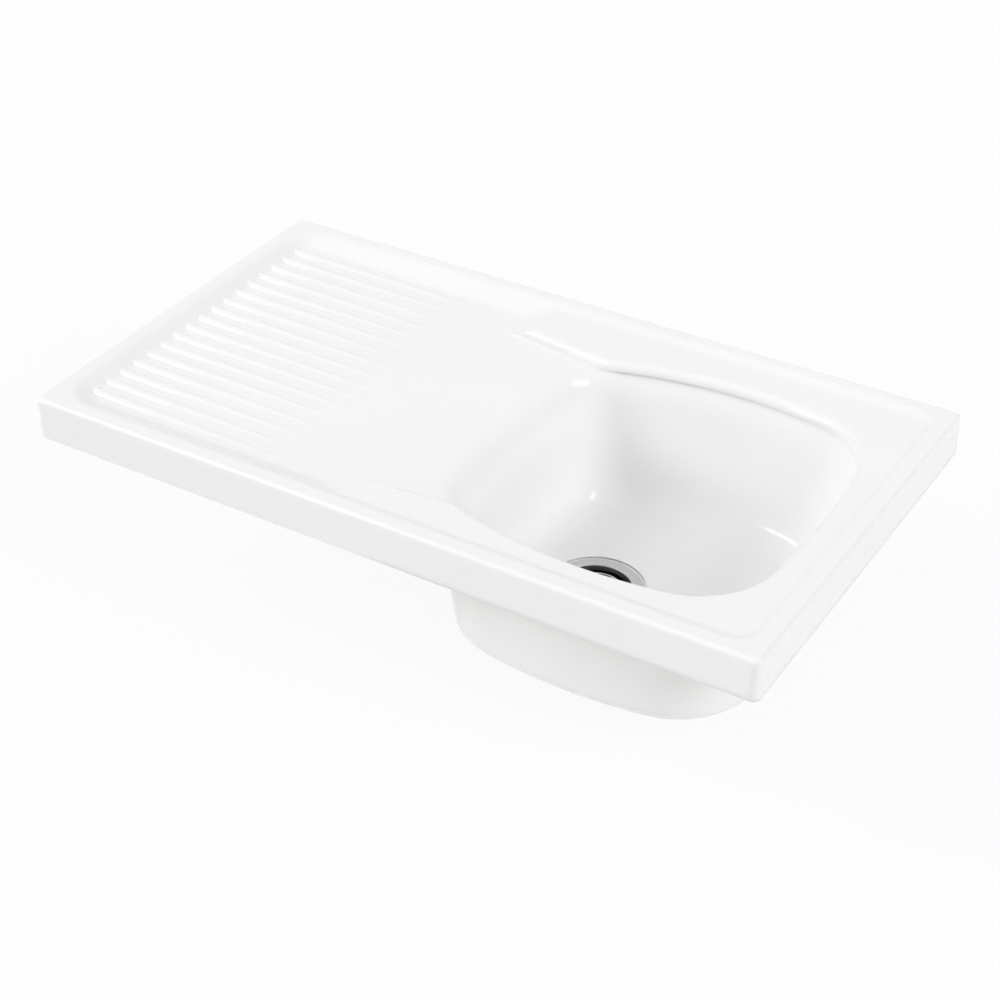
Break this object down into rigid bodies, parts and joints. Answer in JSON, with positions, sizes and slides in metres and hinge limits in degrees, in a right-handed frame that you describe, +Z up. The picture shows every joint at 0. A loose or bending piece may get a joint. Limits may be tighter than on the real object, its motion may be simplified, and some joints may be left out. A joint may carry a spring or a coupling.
{
  "type": "kitchen sink with drainboard",
  "caption": "Glazed ceramic sit-on kitchen sink with a ribbed drainer on the left, a deep bowl on the right and a lift-out strainer basket in its steel waste.",
  "frame": {"origin": "middle of the rectangle that the skirt's foot stands on, at the level of the cabinet's top edge", "axes": "+X along the length towards the bowl's end, +Y from front to back, +Z up"},
  "size_m": [0.9, 0.505, 0.235],
  "materials": {
    "glazed_ceramic": "gloss",
    "gasket_rubber": "matte",
    "stainless_steel": "satin",
    "basket_steel": "polished",
    "waste_plastic": "satin",
    "seal_rubber": "matte",
    "insert_brass": "satin"
  },
  "bodies": {
    "sink": {"sink_body": "glazed_ceramic", "flange_gasket": "gasket_rubber", "waste_flange": "stainless_steel", "body_gasket": "gasket_rubber", "waste_body": "waste_plastic", "screw_insert": "insert_brass", "clamp_screw": "stainless_steel"},
    "basket": {"strainer_basket": "basket_steel", "basket_seal": "seal_rubber", "basket_stem": "stainless_steel", "basket_knob": "basket_steel", "stem_washer": "stainless_steel", "stem_nut": "stainless_steel"}
  },
  "joints": [
    {"name": "basket_lift", "type": "slide", "parent": "sink", "child": "basket", "axis": [0, 0, 1], "range_m": [0, 0.22]}
  ]
}
